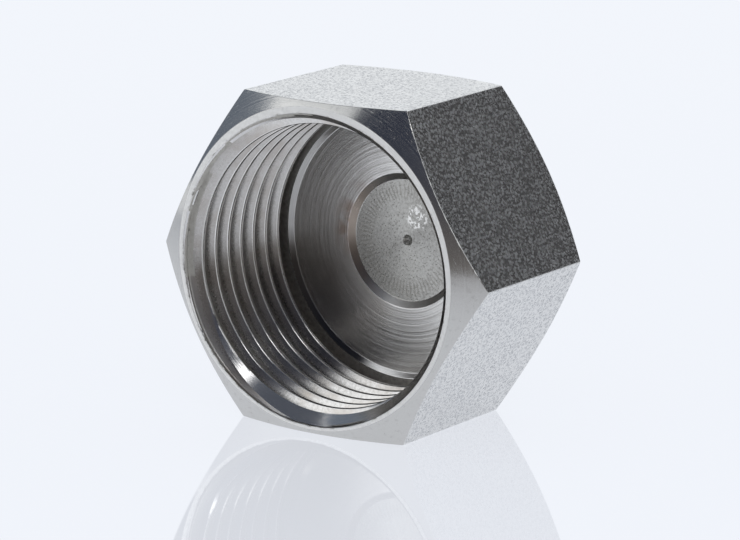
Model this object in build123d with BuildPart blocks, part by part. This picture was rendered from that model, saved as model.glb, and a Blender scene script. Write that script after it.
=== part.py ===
from build123d import *
import os
from math import cos, radians, tan

# Threaded protection cap: one piece, turned and bored from drawn hexagon bar, all sizes in millimetres.
# It lies on one flat, as it does in use on a bench. The axis runs along Y and the open mouth faces -Y.
# The origin is on the surface it lies on, under the middle of the cap.

# Internal thread: parallel pipe thread, 14 turns to the inch, 55 degree rounded form.
# The bore is left at the thread's minor diameter, the size that it is drilled to before the thread is cut.
thread_major_diameter = 26.44
thread_pitch = 1.814
thread_depth_per_pitch = 0.6403

# Hexagon bar. The wall is the metal left between the thread's root and a flat.
wall_at_flats = 0.78
bar_edge_radius = 0.15

# Both ends are turned back to a circle, at this angle from the end face.
mouth_ring_width = 0.41
end_chamfer_angle = 30

# Mouth: a countersink as wide as the thread's root, at this angle from the axis.
countersink_angle = 45

# Cavity, by depth behind the mouth face. A short relief groove ends the thread, just wider than its root.
threaded_depth = 12.5
relief_width = 0.65
relief_clearance = 0.10
relief_corner_radius = 0.12

# Floor: a sloped rim, a flat ring, and a middle that the drill's inner edge left deeper.
floor_rim_width = 0.76
floor_rim_angle = 27.5
recess_floor_radius = 5.26
recess_depth = 0.42
recess_wall_angle = 35
point_radius = 0.26
point_depth = 0.22

# Metal behind the floor, up to the closed end.
end_wall = 3.65

# Sizes that follow from those above.
thread_root_radius = thread_major_diameter / 2
bore_radius = thread_root_radius - thread_depth_per_pitch * thread_pitch
across_flats = thread_major_diameter + 2 * wall_at_flats
corner_radius = across_flats / 2 / cos(radians(30))
end_circle_radius = thread_root_radius + mouth_ring_width
countersink_depth = (thread_root_radius - bore_radius) / tan(radians(countersink_angle))
relief_radius = thread_root_radius + relief_clearance
relief_end = threaded_depth + relief_width
floor_radius = bore_radius - floor_rim_width
floor_depth = relief_end + floor_rim_width * tan(radians(floor_rim_angle))
recess_mouth_radius = recess_floor_radius + recess_depth / tan(radians(recess_wall_angle))
recess_floor_depth = floor_depth + recess_depth
body_length = floor_depth + end_wall

# The mouth face's centre. The bar is drawn back from it along +Y.
axis_height = across_flats / 2
mouth_centre = (0, -body_length / 2, axis_height)
bar_plane = Plane(origin=mouth_centre, x_dir=(1, 0, 0), z_dir=(0, 1, 0))

# Half section for turning: x is the distance from the axis, y is the depth behind the mouth face.
section_plane = Plane(origin=mouth_centre, x_dir=(0, 0, 1), z_dir=(-1, 0, 0))
turning_axis = Axis(mouth_centre, (0, 1, 0))

# The lathe's reach past the bar's corners, so that the chamfers run out of the metal cleanly.
turning_margin = 1.0
blank_radius = corner_radius + turning_margin
blank_shoulder = (blank_radius - end_circle_radius) * tan(radians(end_chamfer_angle))

with BuildPart() as hexagon_cap:
    # Drawn hexagon bar, with its long corners slightly rounded.
    with BuildSketch(bar_plane):
        RegularPolygon(radius=across_flats / 2, side_count=6, major_radius=False)
    extrude(amount=body_length)
    fillet(hexagon_cap.edges().filter_by(Axis.Y), radius=bar_edge_radius)

    # Both ends turned: what lies outside this outline is cut away, which leaves an arched edge on each flat.
    with BuildSketch(section_plane):
        with BuildLine():
            Polyline(
                (0, 0),
                (end_circle_radius, 0),
                (blank_radius, blank_shoulder),
                (blank_radius, body_length - blank_shoulder),
                (end_circle_radius, body_length),
                (0, body_length),
                close=True,
            )
        make_face()
    revolve(axis=turning_axis, mode=Mode.INTERSECT)

    # Bored cavity: countersink, bore at the thread's minor diameter, sloped rim, floor, recess and drill point.
    with BuildSketch(section_plane):
        with BuildLine():
            Polyline(
                (0, 0),
                (thread_root_radius, 0),
                (bore_radius, countersink_depth),
                (bore_radius, relief_end),
                (floor_radius, floor_depth),
                (recess_mouth_radius, floor_depth),
                (recess_floor_radius, recess_floor_depth),
                (point_radius, recess_floor_depth),
                (0, recess_floor_depth + point_depth),
                close=True,
            )
        make_face()
    revolve(axis=turning_axis, mode=Mode.SUBTRACT)

    # Relief groove at the inner end of the thread, with the rounded corners of a grooving tool.
    with BuildSketch(section_plane):
        with BuildLine():
            Polyline(
                (floor_radius, threaded_depth),
                (relief_radius, threaded_depth),
                (relief_radius, relief_end),
                (floor_radius, relief_end),
                close=True,
            )
        groove = make_face()
        fillet(groove.vertices().group_by(Axis.X)[-1], radius=relief_corner_radius)
    revolve(axis=turning_axis, mode=Mode.SUBTRACT)

hexagon_cap.part.label = "hexagon_cap"
os.makedirs("parts", exist_ok=True)
export_step(hexagon_cap.part, "parts/hexagon_cap.step")
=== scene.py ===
# %% [markdown]
# A screw cap of bare stainless steel
#
# The object is a blanking cap for a threaded pipe end. It is one piece of metal: a length of hexagon
# bar that was turned at both ends, bored from the front and threaded inside. The solid model gives its
# size, its place and its plain bore. This lesson makes what the eye sees: the thread itself, the thin
# worn edges, and the finish that each tool left on its part of the surface.
#
# The solid could be given a material and be shown as it is, but its bore is plain, because a thread
# would make it too fine for collisions. So one new mesh takes its place in pictures, and stays inside
# its box.

# %% Load the solid model as a fixed frame
from math import atan2, cos, pi, radians, sin, sqrt, tan

import bpy
import numpy as np
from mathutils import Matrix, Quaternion, Vector


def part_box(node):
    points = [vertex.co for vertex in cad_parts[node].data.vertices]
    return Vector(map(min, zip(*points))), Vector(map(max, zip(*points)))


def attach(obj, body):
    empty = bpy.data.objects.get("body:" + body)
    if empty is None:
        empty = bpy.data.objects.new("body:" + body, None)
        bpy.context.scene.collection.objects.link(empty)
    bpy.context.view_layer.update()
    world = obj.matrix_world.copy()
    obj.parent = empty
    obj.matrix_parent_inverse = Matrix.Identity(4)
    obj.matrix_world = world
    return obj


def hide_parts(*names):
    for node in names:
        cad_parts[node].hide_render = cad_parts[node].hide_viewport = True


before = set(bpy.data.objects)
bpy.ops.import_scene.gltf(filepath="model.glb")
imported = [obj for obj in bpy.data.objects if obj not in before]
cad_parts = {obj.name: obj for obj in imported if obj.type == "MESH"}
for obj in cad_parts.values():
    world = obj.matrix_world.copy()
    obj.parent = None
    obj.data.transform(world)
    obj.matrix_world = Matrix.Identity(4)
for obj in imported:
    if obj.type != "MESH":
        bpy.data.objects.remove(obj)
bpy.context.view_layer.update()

print("nodes:", sorted(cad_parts))

# %% [markdown]
# The camera
#
# A product photograph like this one is taken from some distance with a long lens, so the far edges of
# the hexagon are hardly smaller than the near ones. The camera could be placed by eye, but its place
# was worked out from the ten visible corners of the hexagon, so it is given here as an angle round the
# cap, a height angle, a small roll and a distance. The lens length belongs to a picture that is 740
# pixels wide.

# %% Camera
MM = 0.001
camera_azimuth = radians(34.041)
camera_elevation = radians(12.949)
camera_roll = radians(0.570)
camera_distance = 370.31 * MM
camera_aim = Vector((0.073, -0.374, 12.475)) * MM
lens_length_mm = 214.79
sensor_width_mm = 36.0
picture_width_pixels = 740
nearest_seen = 10 * MM
farthest_seen = 20.0

to_camera = Vector(
    (
        sin(camera_azimuth) * cos(camera_elevation),
        -cos(camera_azimuth) * cos(camera_elevation),
        sin(camera_elevation),
    )
)
camera_data = bpy.data.cameras.new("photo_camera")
camera_data.lens = lens_length_mm
camera_data.sensor_width = sensor_width_mm
camera_data.clip_start = nearest_seen
camera_data.clip_end = farthest_seen
camera = bpy.data.objects.new("photo_camera", camera_data)
bpy.context.scene.collection.objects.link(camera)
camera.location = camera_aim + to_camera * camera_distance
camera.rotation_mode = "QUATERNION"
camera.rotation_quaternion = to_camera.to_track_quat("Z", "Y") @ Quaternion((0, 0, 1), camera_roll)
bpy.context.scene.camera = camera
bpy.context.scene.view_settings.view_transform = "Standard"
pixel_width_mm = camera_distance / MM * sensor_width_mm / lens_length_mm / picture_width_pixels
print("camera at", [round(v / MM, 1) for v in camera.location], "mm")
print("a pixel is", round(pixel_width_mm, 3), "mm wide on the cap")

# %% [markdown]
# Sizes
#
# The outside sizes come from the solid model, so the mesh can't drift away from it. The thread is a
# parallel pipe thread, 14 turns to the inch, and its form is fixed by its pitch: flanks 27.5 degrees
# from square and a depth of 0.6403 of the pitch. The threaded depth, the floor and the recess repeat
# the solid's sizes. The relief groove, the rim and the drill point are drawn as they look, which is up
# to 0.3 mm away from the solid's simpler forms. All lengths are in millimetres until the mesh is made.

# %% Sizes of the cap, in millimetres
cap_low, cap_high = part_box("hexagon_cap")
across_flats = (cap_high.z - cap_low.z) / MM
body_length = (cap_high.y - cap_low.y) / MM
mouth_y = cap_low.y / MM
axis_z = (cap_low.z + cap_high.z) / 2 / MM

thread_major_radius = 26.44 / 2
thread_pitch = 1.814
thread_depth_per_pitch = 0.6403
thread_depth = thread_depth_per_pitch * thread_pitch
flank_angle = radians(27.5)
bore_radius = thread_major_radius - thread_depth
threaded_depth = 12.5

mouth_ring_width = 0.41
end_circle_radius = thread_major_radius + mouth_ring_width
end_chamfer_angle = radians(30)
bar_edge_radius = 0.15

relief_width = 0.75
relief_clearance = 0.10
relief_radius = thread_major_radius + relief_clearance
relief_corner_radius = 0.12
relief_end = threaded_depth + relief_width
floor_radius = 11.30
floor_depth = 13.546
rim_radius = 11.74
recess_floor_radius = 5.26
recess_depth = 0.42
recess_wall_angle = radians(35)
recess_mouth_radius = recess_floor_radius + recess_depth / tan(recess_wall_angle)
recess_floor_depth = floor_depth + recess_depth
point_radius = 0.46
point_depth = 0.34
print("across flats", round(across_flats, 3), "length", round(body_length, 3))
print("bore radius", round(bore_radius, 3), "thread depth", round(thread_depth, 3))

# %% [markdown]
# Columns round the axis
#
# Nearly everything on this part was made by turning it, so the mesh is a grid: columns round the axis,
# and rows that follow the section from the middle of the closed end, over the outside, through the
# mouth and down to the drill point. A boolean of a hexagon and a helix would also work, but it leaves
# thin triangles that spoil reflections. In the grid every column knows how far out the hexagon is at
# its angle, and a few close columns round off each corner.

# %% Columns: the hexagon's outline at each angle
columns_per_flat = 84
corner_steps = 4
apothem = across_flats / 2
corner_radius = apothem / cos(radians(30))
corner_centre = corner_radius - bar_edge_radius / cos(radians(30))

outline = []
for corner in range(6):
    corner_direction = radians(60 * corner)
    for step in range(corner_steps + 1):
        turn = corner_direction + radians(-30 + 60 * step / corner_steps)
        x = corner_centre * cos(corner_direction) + bar_edge_radius * cos(turn)
        z = corner_centre * sin(corner_direction) + bar_edge_radius * sin(turn)
        outline.append((atan2(z, x), sqrt(x * x + z * z)))
    first_angle = outline[-1][0]
    flat_middle = corner_direction + radians(30)
    half_span = (flat_middle - first_angle + pi) % (2 * pi) - pi
    for step in range(1, columns_per_flat):
        angle = flat_middle - half_span * (1 - 2 * step / columns_per_flat)
        outline.append((angle, apothem / cos(angle - flat_middle)))

outline = sorted((angle % (2 * pi), radius) for angle, radius in outline)
angles = np.array([angle for angle, radius in outline])
hexagon_radius = np.array([radius for angle, radius in outline])
column_count = len(angles)
degrees_round = np.degrees(angles)
print("columns:", column_count)

# %% [markdown]
# Rows and faces
#
# A row is a ring of points, one for each column, and adding it gives one vertex number for each column
# and one more that closes the circle. Two rows make a band of faces. Where a row has run together with
# another, the repeated corners are dropped, so no face has a side of no length. Each face also
# remembers its zone, which later picks its material.

# %% Helpers that make rows and bands
vertices = []
faces = []
face_zones = []
ZONES = (
    "bar_skin",
    "turned_end",
    "mouth_ring",
    "countersink",
    "cut_thread",
    "relief",
    "bored_floor",
    "recess",
)


def ring(radius, depth, centre=(0.0, 0.0)):
    """A point at each column: x, depth behind the mouth, and height over the axis."""
    radius = np.broadcast_to(radius, column_count)
    depth = np.broadcast_to(depth, column_count)
    x = centre[0] + radius * np.cos(angles)
    z = centre[1] + radius * np.sin(angles)
    return np.stack([x, depth, z], axis=1)


def add_vertex(point):
    vertices.append((point[0], mouth_y + point[1], axis_z + point[2]))
    return len(vertices) - 1


def add_row(points):
    numbers = [add_vertex(point) for point in points]
    return numbers + [numbers[0]]


def add_face(corners, zone):
    kept = [v for i, v in enumerate(corners) if v != corners[i - 1]]
    if len(set(kept)) >= 3:
        faces.append(kept)
        face_zones.append(ZONES.index(zone))


def add_band(row_a, row_b, zone):
    """The faces between two rows."""
    for j in range(column_count):
        add_face([row_a[j], row_a[j + 1], row_b[j + 1], row_b[j]], zone)


print("zones:", ZONES)

# %% [markdown]
# Softened edges
#
# No machined edge is perfectly sharp. A break of a few hundredths of a millimetre is what catches the
# light as a thin line along it. A bevel modifier could do this, but on a grid it is simpler to put
# three rows where the section turns a corner: they cut the corner with a short curve.

# %% A section with softened corners
shortest = 1e-9


def soft_section(corners):
    """corners: (ring of points, softening) at each corner of the section. Returns the rows."""
    rows = []
    for i, (here, softening) in enumerate(corners):
        if np.all(softening == 0):
            rows.append(here)
            continue
        reach = np.broadcast_to(softening, column_count)[:, None]
        sides = []
        for there, _ in (corners[i - 1], corners[i + 1]):
            way = there - here
            length = np.maximum(np.linalg.norm(way, axis=1, keepdims=True), shortest)
            sides.append(here + way / length * reach)
        rows += [sides[0], (sides[0] + 2 * here + sides[1]) / 4, sides[1]]
    return rows


step_rows = soft_section([(ring(1, 0), 0), (ring(2, 0), 0.1), (ring(2, 1), 0)])
print("a section with one softened corner has", len(step_rows), "rows")

# %% [markdown]
# Small damage
#
# The cap has been used. The ring's inner edge is dented at the left and at the bottom, where pipes have
# knocked against it, and the arched front edge of the upper right flat is uneven. Sculpting could do
# this too, but a few numbers are easier to change: a dent is a smooth dip along a row, with an angle, a
# length along the edge and a depth. A random number generator with a fixed seed places them, so every
# run makes the same cap.

# %% Dents along an edge
damage = np.random.default_rng(14)


def dents(listed, radius):
    """Adds up smooth dips. listed: (angle in degrees, length and depth in millimetres)."""
    total = np.zeros(column_count)
    for middle, length, depth in listed:
        away = (degrees_round - middle + 180) % 360 - 180
        total += depth * np.exp(-((radians(1) * away * radius / (length / 2)) ** 2))
    return total


def scattered_dents(first, last, count, lengths, depths):
    """count dents at random angles between first and last, in degrees."""
    middles = damage.uniform(first, last, count)
    return list(zip(middles, damage.uniform(*lengths, count), damage.uniform(*depths, count)))


ring_edge_radius = 13.1
flat_edge_radius = 14.5
left_dent = (184, 0.8, 0.10)
ring_edge_dents = scattered_dents(103, 200, 16, lengths=(0.5, 1.5), depths=(0.015, 0.07))
ring_edge_dents += scattered_dents(222, 290, 16, lengths=(0.25, 0.7), depths=(0.01, 0.05))
ring_edge_wear = dents(ring_edge_dents + [left_dent], ring_edge_radius)
flat_edge_dents = scattered_dents(2, 58, 34, lengths=(0.3, 0.9), depths=(0.01, 0.05))
flat_edge_wear = dents(flat_edge_dents, flat_edge_radius)
print("deepest dent on the ring's edge:", round(float(ring_edge_wear.max()), 3), "mm")

# %% [markdown]
# The outside
#
# Both ends were turned back at 30 degrees, so each flat ends in an arched edge: low over the middle of
# the flat and far back at the corners. In the grid that arch comes by itself, because the chamfer's
# depth follows from how far out the hexagon is at each column. Cutting a hexagonal prism with two cones
# would give the same arch, with less even faces. A lathe's jaws never hold a bar quite true: the turned
# circle sits a tenth of a millimetre to the left, and the bore also 0.15 mm too low, which makes the
# ring round the mouth wider at the top than at the bottom.

# %% Closed end, back chamfer, flats, front chamfer and mouth ring
edge_break = 0.04
turned_centre = (-0.105, 0.0)
bore_centre = (-0.13, -0.15)
mouth_radius = 13.14
closed_end_radii = (2.0, 7.0)

from_turned_centre = ring(hexagon_radius, 0.0, (-turned_centre[0], -turned_centre[1]))
from_turned_axis = np.hypot(from_turned_centre[:, 0], from_turned_centre[:, 2])
chamfer_run = (from_turned_axis - end_circle_radius) * tan(end_chamfer_angle)
front_break = edge_break + flat_edge_wear

outside = soft_section(
    [(ring(radius, body_length), 0) for radius in closed_end_radii]
    + [
        (ring(end_circle_radius, body_length, turned_centre), edge_break),
        (ring(hexagon_radius, body_length - chamfer_run), edge_break),
        (ring(hexagon_radius, body_length / 2), 0),
        (ring(hexagon_radius, chamfer_run), front_break),
        (ring(end_circle_radius, 0.0, turned_centre), edge_break),
        (ring(mouth_radius, 0.0, bore_centre), 0),
    ]
)
outside_zones = ["turned_end"] * 8 + ["bar_skin"] * 2 + ["turned_end"] * 6

row = [add_vertex((0.0, body_length, 0.0))] * (column_count + 1)
for points, zone in zip(outside[:-1], outside_zones):
    next_row = add_row(points)
    add_band(row, next_row, zone)
    row = next_row
ring_outer_row = row
print("outside:", len(vertices), "vertices,", len(outside), "rows")

# %% [markdown]
# The thread
#
# A thread is a groove that winds into the metal. Here the rows themselves wind: each row keeps its
# place in the thread's section, such as the top of a crest, and moves one pitch deeper in one turn. So
# crests and roots are clean lines of edges. After a full turn a row meets the row that is one pitch
# behind it. Rows that would leave the threaded length run together at its ends. A profile swept along a
# helix is the usual way, and would have to be joined to the bore afterwards. The crests are narrow and
# a little rounded, which is what draws each of them as one thin line of light, and the roots are
# rounded as a threading tool leaves them.

# %% The thread's section over one pitch
crest_flat = 0.32
crest_arc_radius = 0.15
root_radius = 13.17
root_arc_radius = 0.20
arc_steps = 2
flank_steps = 3

groove_depth = root_radius - bore_radius
arc_reach = pi / 2 - flank_angle
flank_slope = tan(flank_angle)
tangent_length = crest_arc_radius * tan(arc_reach / 2)
crest_flat_half = crest_flat / 2 - tangent_length
crest_half = crest_flat_half + crest_arc_radius * sin(arc_reach)
crest_rise = crest_arc_radius * (1 - cos(arc_reach))
root_half = thread_pitch / 2 - crest_flat / 2 - groove_depth * flank_slope
tangent_length = root_arc_radius * tan(arc_reach / 2)
root_flat_half = root_half - tangent_length
root_rise = groove_depth - tangent_length * cos(flank_angle)

crest_edge = []
for step in range(arc_steps + 1):
    turn = arc_reach * step / arc_steps
    crest_edge.append((crest_flat_half + crest_arc_radius * sin(turn), crest_arc_radius * (1 - cos(turn))))
section = [(-offset, rise) for offset, rise in reversed(crest_edge)] + crest_edge
crest_points = len(section)
for step in range(1, flank_steps):
    rise = crest_rise + (root_rise - crest_rise) * step / flank_steps
    section.append((crest_flat / 2 + rise * flank_slope, rise))
for step in range(arc_steps + 1):
    turn = arc_reach * (1 - step / arc_steps)
    offset = thread_pitch / 2 - root_flat_half - root_arc_radius * sin(turn)
    section.append((offset, groove_depth - root_arc_radius * (1 - cos(turn))))
half_section = section[crest_points:]
section += [(thread_pitch - offset, rise) for offset, rise in reversed(half_section)]
section_offset = np.array([offset for offset, rise in section])
section_rise = np.array([rise for offset, rise in section])
rows_per_pitch = len(section)
print("rows per pitch:", rows_per_pitch, "flat at the root:", round(2 * root_flat_half, 3), "mm")


# %% Where the thread's surface is
first_crest_depth = 2.279
turns_with_thread = range(-2, 9)


def crest_depth(turn, angle):
    return first_crest_depth + thread_pitch * (turn - angle / (2 * pi))


def thread_radius(depth, angle):
    """The groove's own surface, at this depth and angle, as if it had no ends."""
    offset = np.mod(depth - crest_depth(0, angle) + crest_half, thread_pitch) - crest_half
    whole_offset = np.append(section_offset, thread_pitch - crest_half)
    whole_rise = np.append(section_rise, crest_rise)
    return bore_radius + np.interp(offset, whole_offset, whole_rise)


print("crests start", round(crest_depth(0, 0.0), 2), "mm behind the mouth, at the right")

# %% [markdown]
# The mouth's countersink
#
# The mouth was opened with a 45 degree countersink, with a short straight step at its outer edge, the
# lip. The tool leaned a little, so the cone reaches 0.2 mm further out at the bottom than at the top.
# Where the cone lies further out than the groove, it has cut the thread away. Here it is a formula for
# its radius at each depth and angle, which the thread's rows can be compared with.

# %% The countersink's surface
cone_reach = 13.19
cone_lean = 0.20
cone_lean_angle = radians(290)
lip_depth = edge_break


def cone_radius(depth, angle):
    """The countersink's surface, at this depth and angle, down to the bore."""
    toward_lean = (1 + np.cos(angle - cone_lean_angle)) / 2
    reach = cone_reach + cone_lean * toward_lean**3
    return np.clip(reach - depth, bore_radius, mouth_radius)


wear_at_lip = 0.6
lip_radius = np.maximum(cone_radius(lip_depth, angles), thread_radius(lip_depth, angles))
lip_radius = lip_radius + ring_edge_wear * wear_at_lip
ring_inner_radius = lip_radius + edge_break + ring_edge_wear * (1 - wear_at_lip)
ring_inner_row = add_row(ring(ring_inner_radius, 0.0, bore_centre))
add_band(ring_outer_row, ring_inner_row, "mouth_ring")
lip_row = add_row(ring(lip_radius, lip_depth, bore_centre))
add_band(ring_inner_row, lip_row, "mouth_ring")
end_radius = thread_radius(threaded_depth, angles)
end_row = add_row(ring(end_radius, threaded_depth, bore_centre))
print("lip radius from", round(float(lip_radius.min()), 2), "to", round(float(lip_radius.max()), 2), "mm")

# %% [markdown]
# The border between countersink and thread
#
# A plain cut through the grid would leave a stepped border. So in each column the row nearest to the
# place where cone and groove meet is moved onto it, and the border becomes a clean line of edges. Rows
# on the mouth's side of it lie on the cone, and rows behind it on the groove.

# %% Thread rows, cut off by the countersink
thread_depths = np.concatenate(
    [crest_depth(turn, angles)[None, :] + section_offset[:, None] for turn in turns_with_thread]
)
thread_radii = np.tile(bore_radius + section_rise, len(turns_with_thread))[:, None] + np.zeros(column_count)
cone_radii = cone_radius(thread_depths, angles)
outside_groove = cone_radii - thread_radii
side = np.sign(outside_groove).astype(int)
side[cone_radii <= bore_radius] = -1
met_depths = thread_depths.copy()
met_radii = np.where(side > 0, cone_radii, thread_radii)
for k, j in zip(*np.nonzero(side[1:] * side[:-1] < 0)):
    gap, next_gap = outside_groove[k, j], outside_groove[k + 1, j]
    share = gap / (gap - next_gap)
    meeting = thread_depths[k, j] + share * (thread_depths[k + 1, j] - thread_depths[k, j])
    near = k if share < 0.5 else k + 1
    met_radius = cone_radius(meeting, angles[j])
    if meeting > lip_depth and met_radius > bore_radius:
        met_depths[near, j] = meeting
        met_radii[near, j] = met_radius
        side[near, j] = 0
print("columns where the countersink cuts the thread:", int(np.any(side == 0, axis=0).sum()))

# %% [markdown]
# Winding the rows
#
# Points that would lie in front of the lip or behind the thread's end are replaced by the lip's or the
# end's own points. The last column repeats the first, one pitch later. Each face then gets its zone
# from the side of the border on which its corners lie, and a face that the border crosses from corner
# to corner is split into two triangles. Near the lip, from the top round to the left, the thread's
# first turn tore the metal. Those faces join the worn ring.

# %% Points of the thread rows
same_place = 1e-4
numbers = np.zeros((len(met_depths), column_count + 1), int)
for k in range(len(met_depths)):
    row_points = ring(met_radii[k], met_depths[k], bore_centre)
    for j in range(column_count):
        if met_depths[k, j] <= lip_depth + same_place:
            numbers[k, j] = lip_row[j]
        elif met_depths[k, j] >= threaded_depth - same_place:
            numbers[k, j] = end_row[j]
        else:
            numbers[k, j] = add_vertex(row_points[j])
side = np.append(side, side[:, :1], axis=1)
for k in range(len(met_depths)):
    whole_turn_back = k - rows_per_pitch
    numbers[k, column_count] = numbers[whole_turn_back, 0] if whole_turn_back >= 0 else lip_row[0]
    side[k, column_count] = side[whole_turn_back, 0] if whole_turn_back >= 0 else 1
print("with the thread's points:", len(vertices), "vertices")

# %% Faces of the thread, the countersink and the torn strip
torn_from, torn_to = 90, 190
torn_depth = 0.85
torn_radius = 13.02
for k in range(len(met_depths) - 1):
    for j in range(column_count):
        grid_places = [(k, j), (k, j + 1), (k + 1, j + 1), (k + 1, j)]
        corners = [int(numbers[grid_place]) for grid_place in grid_places]
        sides = [int(side[grid_place]) for grid_place in grid_places]
        near_lip = 0 <= met_depths[k, j] < torn_depth and met_radii[k, j] > torn_radius
        if near_lip and torn_from < degrees_round[j] < torn_to:
            add_face(corners, "mouth_ring")
        elif max(sides) <= 0:
            add_face(corners, "cut_thread")
        elif min(sides) >= 0:
            add_face(corners, "countersink")
        else:
            first = 0 if sides[0] == 0 and sides[2] == 0 else 1
            for triangle in ((first, first + 1, first + 2), (first + 2, (first + 3) % 4, first)):
                on_cone = sum(sides[i % 4] for i in triangle) > 0
                zone = "countersink" if on_cone else "cut_thread"
                add_face([corners[i % 4] for i in triangle], zone)
print("with thread:", len(vertices), "vertices", len(faces), "faces")

# %% [markdown]
# The bottom of the bore
#
# The thread ends in a relief groove, so that the threading tool can run out. Behind it lie a sloped
# rim, a flat floor and a shallow recess with a small drill point. They are plain turned rings, so their
# rows are plain circles. The recess was drilled on the bar's own axis, so the rows move back to that
# axis between the rim and the recess. Spinning a profile would give the same rings, but these join the
# thread's last row point by point.

# %% Relief groove
relief_steps = 4
relief_section = []
for step in range(relief_steps + 1):
    turn = radians(90 * step / relief_steps)
    relief_section.append(
        (
            relief_radius - relief_corner_radius * (1 - sin(turn)),
            threaded_depth + relief_corner_radius * (1 - cos(turn)),
        )
    )
for step in range(relief_steps + 1):
    turn = radians(90 * step / relief_steps)
    relief_section.append(
        (
            relief_radius - relief_corner_radius * (1 - cos(turn)),
            relief_end - relief_corner_radius * (1 - sin(turn)),
        )
    )
row = end_row
for radius, depth in relief_section:
    next_row = add_row(ring(radius, depth, bore_centre))
    add_band(row, next_row, "relief")
    row = next_row
print("relief groove:", len(relief_section), "rows, radius", round(relief_radius, 2))

# %% Rim, floor, recess and drill point
floor_edge_break = 0.05
off_axis_from, on_axis_from = 9.4, 7.6
recess_row_radii = (3.6, 1.6)
point_waist = (point_radius * 0.4, point_depth * 0.75)
bottom = soft_section(
    [
        (ring(relief_section[-1][0], relief_end, bore_centre), 0),
        (ring(rim_radius, relief_end, bore_centre), edge_break),
        (ring(floor_radius, floor_depth, bore_centre), floor_edge_break),
        (ring(off_axis_from, floor_depth, bore_centre), 0),
        (ring(on_axis_from, floor_depth), 0),
        (ring(recess_mouth_radius, floor_depth), floor_edge_break),
        (ring(recess_floor_radius, recess_floor_depth), floor_edge_break),
    ]
    + [(ring(radius, recess_floor_depth), 0) for radius in recess_row_radii]
    + [
        (ring(point_radius, recess_floor_depth), floor_edge_break),
        (ring(point_waist[0], recess_floor_depth + point_waist[1]), 0),
    ]
)
bottom_zones = ["relief"] + ["countersink"] * 3 + ["bored_floor"] * 7 + ["countersink"] + ["recess"] * 8
for points, zone in zip(bottom[1:], bottom_zones):
    next_row = add_row(points)
    add_band(row, next_row, zone)
    row = next_row
tip = add_vertex((0.0, recess_floor_depth + point_depth, 0.0))
add_band(row, [tip] * (column_count + 1), "recess")
print("all:", len(vertices), "vertices", len(faces), "faces")

# %% [markdown]
# One closed mesh
#
# The zones become material numbers, in the order in which the materials are added below. The mesh has
# to be closed: each edge belongs to two faces, so the faces together have twice as many sides as there
# are edges.

# %% Make the mesh
mesh = bpy.data.meshes.new("threaded_cap")
mesh.from_pydata([Vector(v) * MM for v in vertices], [], faces)
mesh.polygons.foreach_set("material_index", face_zones)
mesh.polygons.foreach_set("use_smooth", [True] * len(faces))
mesh.update()
cap = bpy.data.objects.new("threaded_cap", mesh)
bpy.context.scene.collection.objects.link(cap)
triangles = sum(len(p.vertices) - 2 for p in mesh.polygons)
print("triangles:", triangles, "sides that don't pair up:", len(mesh.loops) - 2 * len(mesh.edges))

# %% [markdown]
# Normals that follow the wide faces
#
# Plain smooth shading takes the same share from every face at a vertex, so a narrow softened edge would
# bend the light across the whole chamfer beside it. On bright metal that shows at once: what the
# chamfer mirrors gets a slanting edge. The Weighted Normal modifier does nearly what is needed, but it
# knows no zones. So here each corner of a face gets the mean of the normals round it, each counted by
# its area. Faces that turn away by more than 34 degrees don't count, and neither do faces across the
# border between the countersink and the thread, so those edges stay crisp.

# %% Set the corner normals
crease_angle = radians(34)
crisp_from = cos(crease_angle)
border_zones = {ZONES.index("countersink"), ZONES.index("cut_thread")}
faces_round = [[] for _ in mesh.vertices]
for polygon in mesh.polygons:
    for number in polygon.vertices:
        faces_round[number].append(polygon.index)
normals = [polygon.normal.copy() for polygon in mesh.polygons]
areas = [polygon.area / MM**2 for polygon in mesh.polygons]
corner_normals = []
for polygon in mesh.polygons:
    zone = face_zones[polygon.index]
    for number in polygon.vertices:
        total = Vector()
        for other in faces_round[number]:
            at_border = {zone, face_zones[other]} == border_zones
            if not at_border and normals[other].dot(normals[polygon.index]) > crisp_from:
                total += normals[other] * areas[other]
        corner_normals.append(total.normalized())
mesh.normals_split_custom_set(corner_normals)
print("corner normals:", len(corner_normals))

# %% [markdown]
# Colours and nodes
#
# Colours are written as they look on a screen, and one function turns them into the linear values that
# light is worked out with. One more function adds a node, sets its values and makes its links. Sizes in
# materials are given in millimetres, and a noise of scale one has patches about a millimetre wide, so
# its scale is one over the width of its patches. A picture of the surface could be wrapped round the
# mesh instead, but nodes need no unwrapping and stay sharp from near by.

# %% Colours
def linear(hex_colour):
    """An sRGB colour such as "#c8c6c2" as linear red, green, blue and alpha."""
    channels = [int(hex_colour[i : i + 2], 16) / 255 for i in (1, 3, 5)]
    return tuple(c / 12.92 if c <= 0.04045 else ((c + 0.055) / 1.055) ** 2.4 for c in channels) + (1.0,)


print("the grey #808080 is", round(linear("#808080")[0], 3), "in linear light")

# %% Nodes
# The numbers of the Mix node's sockets for colours. Its sockets for numbers and vectors have the same names.
MIX_SHARE, MIX_UNDER, MIX_OVER, MIX_RESULT = 0, 6, 7, 2
# Nearly all values of a noise lie in this range.
WHOLE_NOISE = {"From Min": 0.3, "From Max": 0.7}


def add_node(owner, kind, inputs=None, **settings):
    """Adds a node to a material or the world. kind is what follows ShaderNode in its type.

    inputs: a socket's name, or its number where several share a name, and for each a value, a node, which
    stands for its first output, or an output. settings: the node's own choices, such as its operation.
    """
    tree = owner.node_tree
    node = tree.nodes.new("ShaderNode" + kind)
    for name, value in settings.items():
        setattr(node, name, value)
    for name, value in (inputs or {}).items():
        if isinstance(value, bpy.types.Node):
            value = value.outputs[0]
        if isinstance(value, bpy.types.NodeSocket):
            tree.links.new(value, node.inputs[name])
        else:
            node.inputs[name].default_value = value
    return node


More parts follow.
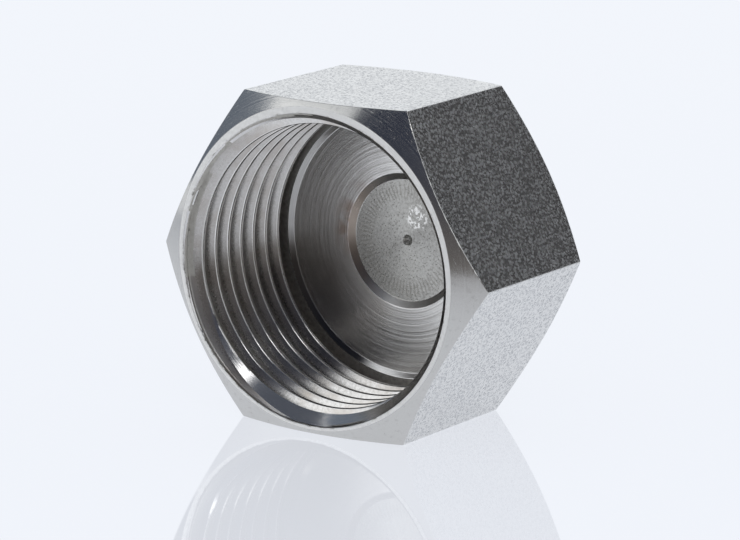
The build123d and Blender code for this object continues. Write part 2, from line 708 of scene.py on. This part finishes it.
def new_material(name):
    material = bpy.data.materials.new(name)
    material.use_nodes = True
    material.node_tree.nodes.clear()
    return material


print("noise range:", WHOLE_NOISE)

# %% [markdown]
# Places on a turned surface
#
# Tool marks follow the turning, so most finishes need to know how far a point is from the axis, at
# which angle it lies, and how deep behind the mouth. Object coordinates give that on any mesh, without
# unwrapping it. A soft window keeps a stain or a band of marks between two places, and noise that is
# stretched along the turning gives streaks.

# %% Helpers for places
def place_in_mm(steel):
    object_place = add_node(steel, "TexCoord").outputs["Object"]
    return add_node(steel, "VectorMath", {0: object_place, "Scale": 1 / MM}, operation="SCALE")


def round_axis(steel, place, centre=(0.0, 0.0)):
    """How far each point is from a turned axis, its angle round it, and its depth behind the mouth."""
    mouth_centre = (centre[0], mouth_y, axis_z + centre[1])
    from_mouth = add_node(steel, "VectorMath", {0: place, 1: mouth_centre}, operation="SUBTRACT")
    across = add_node(steel, "VectorMath", {0: from_mouth, 1: (1.0, 0.0, 1.0)}, operation="MULTIPLY")
    radius = add_node(steel, "VectorMath", {0: across}, operation="LENGTH").outputs["Value"]
    parts = add_node(steel, "SeparateXYZ", {0: from_mouth}).outputs
    angle = add_node(steel, "Math", {0: parts["Z"], 1: parts["X"]}, operation="ARCTAN2")
    return radius, angle, parts["Y"]


def soft_window(steel, value, rise, fall, lowest=0.0):
    """Rises from lowest to 1 over the range rise, and falls back to 0 over the range fall."""
    rising = {"Value": value, "From Min": rise[0], "From Max": rise[1], "To Min": lowest}
    falling = {"Value": value, "From Min": fall[1], "From Max": fall[0]}
    sides = {0: add_node(steel, "MapRange", rising), 1: add_node(steel, "MapRange", falling)}
    return add_node(steel, "Math", sides, operation="MULTIPLY")


def turned_streaks(steel, radius, angle, width, streaks_per_radian, **noise):
    """Noise with patches this wide across the turning, and so many along each radian of it."""
    across = add_node(steel, "Math", {0: radius, 1: 1 / width}, operation="MULTIPLY")
    along = add_node(steel, "Math", {0: angle, 1: streaks_per_radian}, operation="MULTIPLY")
    spread = add_node(steel, "CombineXYZ", {0: across, 1: along})
    return add_node(steel, "TexNoise", {"Vector": spread, "Scale": 1.0, **noise})


print("turned axes, in mm from the bar's own: outside", turned_centre, "bore", bore_centre)

# %% [markdown]
# The steel
#
# Every finish here is stainless steel: a metal, so all its colour is in what it mirrors, and the
# finishes differ in colour by little. They differ in how rough they are, in how deep the tool marks
# are, and in whether these all run one way. A metal's strength of reflection is left as Blender has it.
# Colours are laid over each other from the bare metal up, each where its share says.

# %% The shader of one finish
def finish_steel(steel, colours, roughness, height, height_mm, turned=0.0):
    """colours: the bare metal, then (share, colour) for each colour laid over it.

    height_mm is how deep the marks are that height draws. turned is how strongly highlights spread across
    marks that all follow the turning.
    """
    colour = linear(colours[0])
    for share, over in colours[1:]:
        inputs = {MIX_SHARE: share, MIX_UNDER: colour, MIX_OVER: linear(over)}
        colour = add_node(steel, "Mix", inputs, data_type="RGBA").outputs[MIX_RESULT]
    bump = add_node(steel, "Bump", {"Strength": 1.0, "Distance": height_mm * MM, "Height": height})
    inputs = {"Base Color": colour, "Metallic": 1.0, "Roughness": roughness, "Normal": bump}
    inputs["Anisotropic"] = turned
    if turned:
        inputs["Anisotropic Rotation"] = 0.25
        inputs["Tangent"] = add_node(steel, "Tangent", direction_type="RADIAL", axis="Y")
    shader = add_node(steel, "BsdfPrincipled", inputs)
    add_node(steel, "OutputMaterial", {"Surface": shader})
    mesh.materials.append(steel)
    print(steel.name, "has", len(steel.node_tree.nodes), "nodes")


# %% [markdown]
# Drawn and pickled bar skin
#
# The flats are the skin of cold-drawn stainless bar. Drawing leaves faint lines along the bar, and
# pickling in acid eats pits and leaves small frosted flecks with crooked edges, about 0.3 mm apart. To
# the eye that is a shiny grey with matt flecks: in a flat that mirrors something dark the flecks glint,
# and in one that mirrors something bright they look grey. So the flecks are mainly a change of
# roughness, with hardly any colour. Noise alone would make clouds of them. The cells of a Voronoi
# texture are spaced more evenly, and a noise bends their edges.
#
# The real pits and lines are a few hundredths of a millimetre wide, which is less than a pixel. They
# are drawn 0.13 and 0.15 mm wide, so that they show.

# %% Stainless bar skin
fleck_spacing = 0.28
bend_width = 0.30
bend_reach = (0.35, 0.35, 0.35)
pit_width = 0.13
draw_line_width = 0.15
draw_line_length = 7.0
wide_patch_width = 5.0

bar_skin = new_material("stainless_pickled_bar_skin")
place = place_in_mm(bar_skin)
bend = add_node(bar_skin, "TexNoise", {"Vector": place, "Scale": 1 / bend_width, "Detail": 1.0})
bent = add_node(
    bar_skin, "VectorMath", {0: bend.outputs["Color"], 1: bend_reach, 2: place}, operation="MULTIPLY_ADD"
)
cells = add_node(bar_skin, "TexVoronoi", {"Vector": bent, "Scale": 1 / fleck_spacing, "Randomness": 0.8})
flecks = add_node(bar_skin, "MapRange", {"Value": cells, "From Min": 0.56, "From Max": 0.24})
pit_noise = add_node(bar_skin, "TexNoise", {"Vector": place, "Scale": 1 / pit_width, "Detail": 1.0})
pits = add_node(bar_skin, "MapRange", {"Value": pit_noise, "From Min": 0.64, "From Max": 0.72})

line_scale = (1 / draw_line_width, 1 / draw_line_length, 1 / draw_line_width)
along_bar = add_node(bar_skin, "VectorMath", {0: place, 1: line_scale}, operation="MULTIPLY")
draw_noise = add_node(bar_skin, "TexNoise", {"Vector": along_bar, "Scale": 1.0, "Detail": 1.0})
draw_lines = add_node(bar_skin, "MapRange", {"Value": draw_noise, "From Min": 0.35, "From Max": 0.70})
wide = add_node(bar_skin, "TexNoise", {"Vector": place, "Scale": 1 / wide_patch_width, "Detail": 2.0})

rough = add_node(bar_skin, "MapRange", {"Value": wide, **WHOLE_NOISE, "To Min": 0.16, "To Max": 0.20})
rough = add_node(bar_skin, "Math", {0: flecks, 1: 0.31, 2: rough}, operation="MULTIPLY_ADD")
rough = add_node(bar_skin, "Math", {0: draw_lines, 1: 0.02, 2: rough}, operation="MULTIPLY_ADD")
height = add_node(bar_skin, "Math", {0: pits, 1: -0.8, 2: cells}, operation="MULTIPLY_ADD")
height = add_node(bar_skin, "Math", {0: draw_lines, 1: 0.10, 2: height}, operation="MULTIPLY_ADD")
finish_steel(bar_skin, ["#dededc", (flecks, "#cdcecf"), (pits, "#98999b")], rough, height, 0.010)

# %% [markdown]
# Turned ends
#
# The chamfers and the closed end were turned with a pointed tool, which leaves rings as fine as the
# feed, about 0.12 mm. They spread a highlight into a fan across the rings. Modelled one by one they
# would take millions of faces, so the spread comes from Anisotropic and the rings from a little height:
# they are a few thousandths of a millimetre deep. Handling left faint scuffs, half a millimetre wide.

# %% Stainless turned ends
feed = 0.12
scuff_width = 0.5

turned_end = new_material("stainless_turned_end")
place = place_in_mm(turned_end)
radius, _, _ = round_axis(turned_end, place, turned_centre)
rings = add_node(
    turned_end, "TexNoise", {"W": radius, "Scale": 1 / feed, "Detail": 2.0}, noise_dimensions="1D"
)
scuff_noise = add_node(
    turned_end, "TexNoise", {"Vector": place, "Scale": 1 / scuff_width, "Detail": 4.0, "Roughness": 0.7}
)
scuffs = add_node(turned_end, "MapRange", {"Value": scuff_noise, "From Min": 0.56, "From Max": 0.70})

rough = add_node(turned_end, "MapRange", {"Value": rings, **WHOLE_NOISE, "To Min": 0.13, "To Max": 0.22})
rough = add_node(turned_end, "Math", {0: scuffs, 1: 0.10, 2: rough}, operation="MULTIPLY_ADD")
height = add_node(turned_end, "Math", {0: scuff_noise, 1: 0.8, 2: rings}, operation="MULTIPLY_ADD")
finish_steel(turned_end, ["#cbcac7", (scuffs, "#c1c0bd")], rough, height, 0.004, turned=0.4)

# %% [markdown]
# The mouth ring and the torn start of the thread
#
# The narrow ring round the mouth has been knocked and rubbed, and the first turn of the thread tore the
# metal a little where it broke out through the face. Both are bumpy and matt: they scatter light and
# look pale even where a clean cut would mirror something dark. The bumps are a quarter of a millimetre
# wide. Just inside the edge, dark grime sits in the corners that a cloth doesn't reach. Where the edge
# turns into the mouth, the metal is dullest.

# %% Stainless mouth ring
bump_width = 0.25
grime_width = 0.6

worn_ring = new_material("stainless_worn_ring")
place = place_in_mm(worn_ring)
radius, _, depth = round_axis(worn_ring, place, bore_centre)
bumps = add_node(
    worn_ring, "TexNoise", {"Vector": place, "Scale": 1 / bump_width, "Detail": 2.0, "Roughness": 0.6}
)
grime_noise = add_node(
    worn_ring, "TexNoise", {"Vector": place, "Scale": 1 / grime_width, "Detail": 3.0, "Roughness": 0.7}
)
grime = add_node(worn_ring, "MapRange", {"Value": grime_noise, "From Min": 0.54, "From Max": 0.66})
edge_band = soft_window(worn_ring, radius, (13.08, 13.14), (13.16, 13.32))
grime = add_node(worn_ring, "Math", {0: grime, 1: edge_band}, operation="MULTIPLY")
inside = add_node(worn_ring, "MapRange", {"Value": depth, "From Min": 0.03, "From Max": 0.10})

rough = add_node(worn_ring, "MapRange", {"Value": bumps, **WHOLE_NOISE, "To Min": 0.32, "To Max": 0.50})
rough = add_node(worn_ring, "Math", {0: inside, 1: 0.32, 2: rough}, operation="MULTIPLY_ADD")
finish_steel(worn_ring, ["#e6e5e2", (inside, "#d6d4ce"), (grime, "#8f8c84")], rough, bumps, 0.032)

# %% [markdown]
# Countersink, rim and recess wall
#
# These three cones are clean cuts with a wide tool: smooth and darkly shining, with a few faint streaks
# that follow the turning. The real streaks are finer than a pixel and are drawn 0.1 mm wide. The wall
# of the recess is duller, and has a brown stain on its left. Painted shade darkens the left half of the
# rim, most of all at the lower left. One material serves all three, because their distance from the
# axis tells them apart.

# %% Stainless countersink
streak_width = 0.10
streaks_per_radian = 8.0
bore_wall = (11.9, 12.0)
recess_wall = (6.8, 7.2)

countersink = new_material("stainless_countersink")
place = place_in_mm(countersink)
radius, angle, _ = round_axis(countersink, place, bore_centre)
streaks = turned_streaks(countersink, radius, angle, streak_width, streaks_per_radian, Detail=2.0)
streak_share = add_node(countersink, "MapRange", {"Value": streaks, **WHOLE_NOISE})
in_recess = add_node(
    countersink, "MapRange", {"Value": radius, "From Min": recess_wall[1], "From Max": recess_wall[0]}
)
in_bore = add_node(
    countersink, "MapRange", {"Value": radius, "From Min": bore_wall[1], "From Max": bore_wall[0]}
)
on_rim = add_node(countersink, "Math", {0: in_bore, 1: in_recess}, operation="SUBTRACT")

from_right = add_node(countersink, "Math", {0: angle}, operation="ABSOLUTE")
on_left = add_node(
    countersink, "MapRange", {"Value": from_right, "From Min": radians(110), "From Max": radians(140)}
)
stain = add_node(countersink, "Math", {0: in_recess, 1: on_left}, operation="MULTIPLY")

# Painted shade on the rim: its left half is coloured darker, and the lower left darker still.
# Angles below the axis are negative, so these two ranges meet at the left with the same value.
lower_left = soft_window(countersink, angle, np.radians((-180, -165)), np.radians((-112, -100)), lowest=0.5)
upper_left = add_node(
    countersink,
    "MapRange",
    {"Value": angle, "From Min": radians(60), "From Max": radians(90), "To Max": 0.5},
)
painted_shade = add_node(countersink, "Math", {0: lower_left, 1: upper_left}, operation="MAXIMUM")
painted_shade = add_node(countersink, "Math", {0: painted_shade, 1: on_rim}, operation="MULTIPLY")

rough = add_node(
    countersink, "MapRange", {"Value": streaks, **WHOLE_NOISE, "To Min": 0.13, "To Max": 0.18}
)
rough = add_node(countersink, "Math", {0: in_recess, 1: 0.14, 2: rough}, operation="MULTIPLY_ADD")
colours = ["#d9d8d7", (streak_share, "#cdccca"), (stain, "#a59a90"), (painted_shade, "#625f5c")]
finish_steel(countersink, colours, rough, streaks, 0.004)

# %% [markdown]
# Cut thread
#
# The thread was cut by a single-point tool in tough steel, which leaves a silky but slightly torn
# flank: a grain of 0.2 mm that softens what the flank mirrors, and more so toward the root. So each
# flank fades from dark beside the crest in front of it to the brightness of what stands outside. The
# crests were burnished smooth by the pipe, and a painted highlight, a paler colour, makes them shine as
# thin bright lines, apart from the start of the first one, which the countersink tore. Painted shade
# darkens the left side, and at the lower left it gets darker toward the bottom of the bore.

# %% Stainless cut thread
grain_width = 0.20
stain_width = 2.5
crest_reach = (bore_radius + 0.05, bore_radius + 0.10)
rougher_reach = (bore_radius + 0.35, bore_radius + 0.95)
first_crest_ends = (1.36, 1.46)

cut_thread = new_material("stainless_cut_thread")
place = place_in_mm(cut_thread)
radius, angle, depth = round_axis(cut_thread, place, bore_centre)
grain = add_node(
    cut_thread, "TexNoise", {"Vector": place, "Scale": 1 / grain_width, "Detail": 2.0, "Roughness": 0.6}
)
grain_share = add_node(cut_thread, "MapRange", {"Value": grain, "From Min": 0.42, "From Max": 0.68})
stain_noise = add_node(cut_thread, "TexNoise", {"Vector": place, "Scale": 1 / stain_width, "Detail": 3.0})
stain = add_node(cut_thread, "MapRange", {"Value": stain_noise, "From Min": 0.45, "From Max": 0.75})

# Painted shade: the thread's left side is coloured darker, and the lower left darker still toward the
# bottom.
lower_left = soft_window(cut_thread, angle, np.radians((-174, -162)), np.radians((-116, -104)))
deeper = add_node(cut_thread, "MapRange", {"Value": depth, "From Min": 1.5, "From Max": 11.5})
deep_painted_shade = add_node(cut_thread, "Math", {0: lower_left, 1: deeper}, operation="MULTIPLY")
from_right = add_node(cut_thread, "Math", {0: angle}, operation="ABSOLUTE")
left_painted_shade = add_node(
    cut_thread,
    "MapRange",
    {"Value": from_right, "From Min": radians(112), "From Max": radians(130), "To Max": 0.40},
)
painted_shade = add_node(cut_thread, "Math", {0: deep_painted_shade, 1: left_painted_shade}, operation="MAXIMUM")

on_crest = add_node(
    cut_thread, "MapRange", {"Value": radius, "From Min": crest_reach[1], "From Max": crest_reach[0]}
)
at_start = {"From Min": first_crest_ends[0], "From Max": first_crest_ends[1]}
crest_rough = add_node(cut_thread, "MapRange", {"Value": depth, **at_start, "To Min": 0.50, "To Max": 0.09})
up_flank = {"From Min": rougher_reach[0], "From Max": rougher_reach[1]}
flank_rough = add_node(cut_thread, "MapRange", {"Value": radius, **up_flank, "To Min": 0.20, "To Max": 0.38})
grain_rough = add_node(
    cut_thread, "MapRange", {"Value": grain, **WHOLE_NOISE, "To Min": -0.04, "To Max": 0.04}
)
flank_rough = add_node(cut_thread, "Math", {0: grain_rough, 1: flank_rough}, operation="ADD")
rough = add_node(
    cut_thread, "MapRange", {"Value": on_crest, "To Min": flank_rough, "To Max": crest_rough}
)

colours = ["#dcdad7", (grain_share, "#d1cfcb"), (stain, "#bfb8b0"), (painted_shade, "#8f8b88")]
# The paler colour on the crests is a painted highlight.
colours += [(on_crest, "#f2f1ee")]
finish_steel(cut_thread, colours, rough, grain, 0.004, turned=0.4)

# %% [markdown]
# Relief groove
#
# A narrow grooving tool chatters, so this groove is matt, with scuffs of 0.3 mm. Deep between two
# walls, a polished one would be black, but this one scatters a little light back out.

# %% Stainless relief groove
chatter_width = 0.3

relief_groove = new_material("stainless_relief_groove")
place = place_in_mm(relief_groove)
scuffs = add_node(relief_groove, "TexNoise", {"Vector": place, "Scale": 1 / chatter_width, "Detail": 2.0})
scuff_share = add_node(relief_groove, "MapRange", {"Value": scuffs, "From Min": 0.4, "From Max": 0.7})
rough = add_node(
    relief_groove, "MapRange", {"Value": scuffs, **WHOLE_NOISE, "To Min": 0.42, "To Max": 0.58}
)
finish_steel(relief_groove, ["#dcd9d5", (scuff_share, "#c7c4bf")], rough, scuffs, 0.008)

# %% [markdown]
# Bored floor
#
# The floor was faced with a boring tool from the rim inwards. Its feed shows as rings of 0.3 to 0.5 mm,
# some bright and some dark, and the light fans out across them. Noise along the radius makes them
# uneven, as they are, where evenly spaced waves would look like a gramophone record. Painted shade
# darkens the left side, and a little rust-brown stain is left round the recess.

# %% Stainless bored floor
ring_width = 0.32
patch_width = 0.25
patches_per_radian = 2.5
floor_stain_width = 1.2

bored_floor = new_material("stainless_bored_floor")
place = place_in_mm(bored_floor)
radius, angle, _ = round_axis(bored_floor, place)
rings = add_node(
    bored_floor,
    "TexNoise",
    {"W": radius, "Scale": 1 / ring_width, "Detail": 2.5, "Roughness": 0.65},
    noise_dimensions="1D",
)
patches = turned_streaks(
    bored_floor, radius, angle, patch_width, patches_per_radian, Detail=3.0, Roughness=0.6
)
height = add_node(bored_floor, "Math", {0: patches, 1: 0.25, 2: rings}, operation="MULTIPLY_ADD")
ring_share = add_node(bored_floor, "MapRange", {"Value": height, "From Min": 0.55, "From Max": 0.80})

# Painted shade: the left of the floor is coloured darker, with a colour of its own at the lower left.
from_right = add_node(bored_floor, "Math", {0: angle}, operation="ABSOLUTE")
on_left = add_node(
    bored_floor, "MapRange", {"Value": from_right, "From Min": radians(120), "From Max": radians(170)}
)
left_painted_shade = add_node(bored_floor, "Math", {0: on_left, 1: 0.5}, operation="MULTIPLY")
near_recess = add_node(bored_floor, "MapRange", {"Value": radius, "From Min": 7.6, "From Max": 6.2})
stain_noise = add_node(
    bored_floor,
    "TexNoise",
    {"Vector": place, "Scale": 1 / floor_stain_width, "Detail": 3.0, "Roughness": 0.6},
)
stain_share = add_node(bored_floor, "MapRange", {"Value": stain_noise, "From Min": 0.35, "From Max": 0.6})
stain = add_node(bored_floor, "Math", {0: near_recess, 1: on_left}, operation="MULTIPLY")
stain = add_node(bored_floor, "Math", {0: stain, 1: stain_share}, operation="MULTIPLY")
painted_shade = soft_window(bored_floor, angle, np.radians((-180, -150)), np.radians((-112, -98)))

rough = add_node(
    bored_floor, "MapRange", {"Value": patches, **WHOLE_NOISE, "To Min": 0.18, "To Max": 0.26}
)
colours = ["#e0dfdd", (ring_share, "#c4c2bf"), (left_painted_shade, "#8f8b88"), (stain, "#9c8b80")]
colours += [(painted_shade, "#bfbcb9")]
finish_steel(bored_floor, colours, rough, height, 0.022, turned=1.0)

# %% [markdown]
# Drilled recess
#
# The middle was left by the tip of the drill. It is mottled, and where the drill chattered there are
# short marks that point to the centre, in a band between 3.3 and 5 mm from it. They come from a sine of
# the angle, which a noise makes a little uneven, because a drill chatters at a nearly steady rate. At
# the upper right a few torn flakes are raised and smoother, and their paler colour is a painted glint.

# %% Stainless drilled recess
mottle_width = 0.17
marks_round = 74.0
unevenness = 9.0
unevenness_width = 1.5
drill_ring_width = 0.22
flake_width = 0.22
glint_centre = (0.95, mouth_y + recess_floor_depth, axis_z + 2.05)

drilled_recess = new_material("stainless_drilled_recess")
place = place_in_mm(drilled_recess)
radius, angle, _ = round_axis(drilled_recess, place)
mottle = add_node(
    drilled_recess,
    "TexNoise",
    {"Vector": place, "Scale": 1 / mottle_width, "Detail": 2.0, "Roughness": 0.6},
)
mottle_share = add_node(drilled_recess, "MapRange", {"Value": mottle, "From Min": 0.40, "From Max": 0.70})
rings = add_node(
    drilled_recess,
    "TexNoise",
    {"W": radius, "Scale": 1 / drill_ring_width, "Detail": 2.0},
    noise_dimensions="1D",
)

wander = add_node(
    drilled_recess, "TexNoise", {"Vector": place, "Scale": 1 / unevenness_width, "Detail": 2.0}
)
marks = add_node(drilled_recess, "Math", {0: angle, 1: marks_round}, operation="MULTIPLY")
marks = add_node(drilled_recess, "Math", {0: wander, 1: unevenness, 2: marks}, operation="MULTIPLY_ADD")
marks = add_node(drilled_recess, "Math", {0: marks}, operation="SINE")
marks = add_node(drilled_recess, "MapRange", {"Value": marks, "From Min": 0.0, "From Max": 0.9})
band = soft_window(drilled_recess, radius, (3.3, 3.9), (4.6, 5.0))
chatter = add_node(drilled_recess, "Math", {0: marks, 1: band}, operation="MULTIPLY")

# A painted glint: torn flakes in a patch at the upper right are coloured paler, as well as raised and
# smoother.
from_glints = add_node(
    drilled_recess, "VectorMath", {0: place, 1: glint_centre}, operation="DISTANCE"
).outputs["Value"]
glint_patch = add_node(
    drilled_recess, "MapRange", {"Value": from_glints, "From Min": 1.25, "From Max": 0.85}
)
flakes = add_node(drilled_recess, "TexNoise", {"Vector": place, "Scale": 1 / flake_width, "Detail": 1.0})
flakes = add_node(drilled_recess, "MapRange", {"Value": flakes, "From Min": 0.50, "From Max": 0.58})
flakes_and_painted_glint = add_node(drilled_recess, "Math", {0: glint_patch, 1: flakes}, operation="MULTIPLY")

rough = add_node(
    drilled_recess, "MapRange", {"Value": mottle, **WHOLE_NOISE, "To Min": 0.20, "To Max": 0.30}
)
rough = add_node(drilled_recess, "Math", {0: flakes_and_painted_glint, 1: -0.09, 2: rough}, operation="MULTIPLY_ADD")
height = add_node(drilled_recess, "Math", {0: chatter, 1: -0.35, 2: mottle}, operation="MULTIPLY_ADD")
height = add_node(drilled_recess, "Math", {0: rings, 1: 0.4, 2: height}, operation="MULTIPLY_ADD")
height = add_node(drilled_recess, "Math", {0: flakes_and_painted_glint, 1: 0.4, 2: height}, operation="MULTIPLY_ADD")
colours = ["#b7b6b2", (mottle_share, "#a8a6a2"), (chatter, "#a19f9a"), (flakes_and_painted_glint, "#ebeae7")]
finish_steel(drilled_recess, colours, rough, height, 0.008, turned=0.9)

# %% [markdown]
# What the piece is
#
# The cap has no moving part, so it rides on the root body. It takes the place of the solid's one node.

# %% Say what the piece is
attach(cap, "root")
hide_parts("hexagon_cap")
print("materials on the cap:", len(mesh.materials))

# %% [markdown]
# The studio
#
# Bare metal has hardly any colour of its own: it shows what stands round it. Such a cap is photographed
# on a sheet of white acrylic that is lit from below, in front of a white backdrop, with softboxes and a
# few dark cards that give the faces their contrast. The lit floor and the bright backdrop are there
# only for camera and mirror rays, and the light that falls on things comes from a plainer world and the
# lamps, so a white background puts no extra light on the cap. A picture of a studio wrapped round the
# scene would light it too, but nothing in it could be moved.

# %% Rays that see and rays that light
def ray_switch(owner, for_seen, for_light):
    """Uses one shader for camera, mirror and glass rays, and another for the light that falls on things."""
    rays = add_node(owner, "LightPath").outputs
    seen = add_node(
        owner, "Math", {0: rays["Is Camera Ray"], 1: rays["Is Glossy Ray"]}, operation="MAXIMUM"
    )
    seen = add_node(owner, "Math", {0: seen, 1: rays["Is Transmission Ray"]}, operation="MAXIMUM")
    return add_node(owner, "MixShader", {0: seen, 1: for_light, 2: for_seen})


# %% World
world = bpy.data.worlds.new("studio")
bpy.context.scene.world = world
world.use_nodes = True
world.node_tree.nodes.clear()
seen = add_node(world, "Background", {"Color": linear("#f8fbff"), "Strength": 1.0})
light = add_node(world, "Background", {"Color": linear("#f4f6f8"), "Strength": 0.8})
add_node(world, "OutputWorld", {"Surface": ray_switch(world, seen, light)})
print("world has", len(world.node_tree.nodes), "nodes")

# %% Floor of white acrylic, lit from below
floor_half_size = 3.0
floor_gap = 0.02 * MM
acrylic_ior = 1.49

far = floor_half_size
floor_corners = [(-far, -far, 0), (far, -far, 0), (far, far, 0), (-far, far, 0)]
floor_mesh = bpy.data.meshes.new("floor")
floor_mesh.from_pydata(floor_corners, [], [(0, 1, 2, 3)])
floor = bpy.data.objects.new("floor", floor_mesh)
bpy.context.scene.collection.objects.link(floor)
floor.location.z = -floor_gap
acrylic = new_material("white_acrylic")
glow = add_node(acrylic, "Emission", {"Color": linear("#f1f4fb"), "Strength": 0.90})
matt = add_node(acrylic, "BsdfDiffuse", {"Color": linear("#52565c")})
body = add_node(acrylic, "AddShader", {0: glow, 1: matt})
mirror = add_node(acrylic, "BsdfGlossy", {"Color": linear("#ffffff"), "Roughness": 0.03})
fresnel = add_node(acrylic, "Fresnel", {"IOR": acrylic_ior})
surface = add_node(acrylic, "MixShader", {0: fresnel, 1: body, 2: mirror})
plain = add_node(acrylic, "BsdfDiffuse", {"Color": linear("#f0f3fb")})
add_node(acrylic, "OutputMaterial", {"Surface": ray_switch(acrylic, surface, plain)})
floor_mesh.materials.append(acrylic)
print("floor is", 2 * floor_half_size, "m wide")

# %% [markdown]
# Cards and softboxes
#
# The cards are hung as a photographer hangs them: what a face should mirror decides where its card
# stands. The card in front is what the right chamfers and the bore mirror, and the one on the left is
# what the left chamfers mirror. The one behind, on the right, makes the upper right flat dark, and the
# one overhead darkens the bottom of the countersink. They glow at a fixed brightness, so they look the
# same whatever the lamps do, and they are seen only in reflections. Two softboxes make the bright
# middle of the top chamfer and the bright spot in the countersink.

# %% Directions round the cap
def toward(azimuth, elevation):
    """The direction at this angle from the mouth's side toward +X, and this height angle, in degrees."""
    a, e = radians(azimuth), radians(elevation)
    return Vector((sin(a) * cos(e), -cos(a) * cos(e), sin(e)))


print("toward 90, 0 is", [round(v, 2) for v in toward(90, 0)])


# %% Cards
def dress_card(name, card_mesh, colour, top_colour, heights):
    """Gives a card its cloth, which only its front side has, and keeps it out of view."""
    card = bpy.data.objects.new(name, card_mesh)
    bpy.context.scene.collection.objects.link(card)
    cloth = new_material(name + "_cloth")
    place = add_node(cloth, "TexCoord").outputs["Object"]
    height = add_node(cloth, "SeparateXYZ", {0: place}).outputs["Z"]
    share = add_node(cloth, "MapRange", {"Value": height, "From Min": heights[0], "From Max": heights[1]})
    fade = add_node(
        cloth,
        "Mix",
        {MIX_SHARE: share, MIX_UNDER: linear(colour), MIX_OVER: linear(top_colour)},
        data_type="RGBA",
    ).outputs[MIX_RESULT]
    glow = add_node(cloth, "Emission", {"Color": fade, "Strength": 1.0})
    clear = add_node(cloth, "BsdfTransparent")
    from_behind = add_node(cloth, "NewGeometry").outputs["Backfacing"]
    front_only = add_node(cloth, "MixShader", {0: from_behind, 1: glow, 2: clear})
    add_node(cloth, "OutputMaterial", {"Surface": front_only})
    card_mesh.materials.append(cloth)
    card.visible_camera = False
    card.visible_diffuse = False
    card.visible_shadow = False
    print(name, "in place")


def studio_card(name, azimuths, heights, distance, colour, top_colour=None, fade_height=None):
    """An upright curved card round the cap. It may fade to another colour higher up."""
    steps = 24
    points = []
    for step in range(steps + 1):
        azimuth = azimuths[0] + (azimuths[1] - azimuths[0]) * step / steps
        foot = toward(azimuth, 0) * distance
        points += [(foot.x, foot.y, heights[0]), (foot.x, foot.y, heights[1])]
    quads = [(2 * i + 1, 2 * i + 3, 2 * i + 2, 2 * i) for i in range(steps)]
    card_mesh = bpy.data.meshes.new(name)
    card_mesh.from_pydata(points, [], quads)
    fade_heights = (heights[0], fade_height or heights[1])
    dress_card(name, card_mesh, colour, top_colour or colour, fade_heights)


def ceiling_card(name, centre, radius, colour):
    """A round level card above the cap."""
    steps = 48
    rim = [toward(360 * step / steps, 0) * radius + Vector(centre) for step in range(steps)]
    card_mesh = bpy.data.meshes.new(name)
    card_mesh.from_pydata([p[:] for p in rim], [], [tuple(reversed(range(steps)))])
    dress_card(name, card_mesh, colour, colour, (0, centre[2]))


# %% Softboxes
def softbox(name, azimuth, elevation, distance, width, height, brightness):
    """A lit panel that faces the cap. Its power is set so that it looks this bright, where 1 is white."""
    lamp = bpy.data.lights.new(name, "AREA")
    lamp.shape = "RECTANGLE"
    lamp.size = width
    lamp.size_y = height
    lamp.energy = brightness * pi * width * height
    box = bpy.data.objects.new(name, lamp)
    bpy.context.scene.collection.objects.link(box)
    way = toward(azimuth, elevation)
    box.location = way * distance + Vector((0, 0, axis_z * MM))
    box.rotation_mode = "QUATERNION"
    box.rotation_quaternion = way.to_track_quat("Z", "Y")
    box.visible_camera = False
    print(name, "gives", round(lamp.energy, 3), "W")


# %% Hang the cards and the softboxes, in metres and degrees
studio_card(
    "front_card",
    azimuths=(-21, 60),
    heights=(0.0, 0.17),
    distance=0.14,
    colour="#767270",
    top_colour="#393e4d",
    fade_height=0.10,
)
studio_card("left_card", azimuths=(-96, -62), heights=(0.018, 0.34), distance=0.30, colour="#757e8c")
studio_card("back_right_card", azimuths=(118, 172), heights=(0.02, 0.40), distance=0.40, colour="#48484a")
ceiling_card("ceiling_card", centre=(-0.05, -0.05, 0.50), radius=0.36, colour="#5a5f6a")
softbox("key_softbox", -44, 26, distance=0.45, width=0.258, height=0.143, brightness=0.32)
softbox("high_softbox", 38, 50, distance=0.42, width=0.20, height=0.12, brightness=2.2)
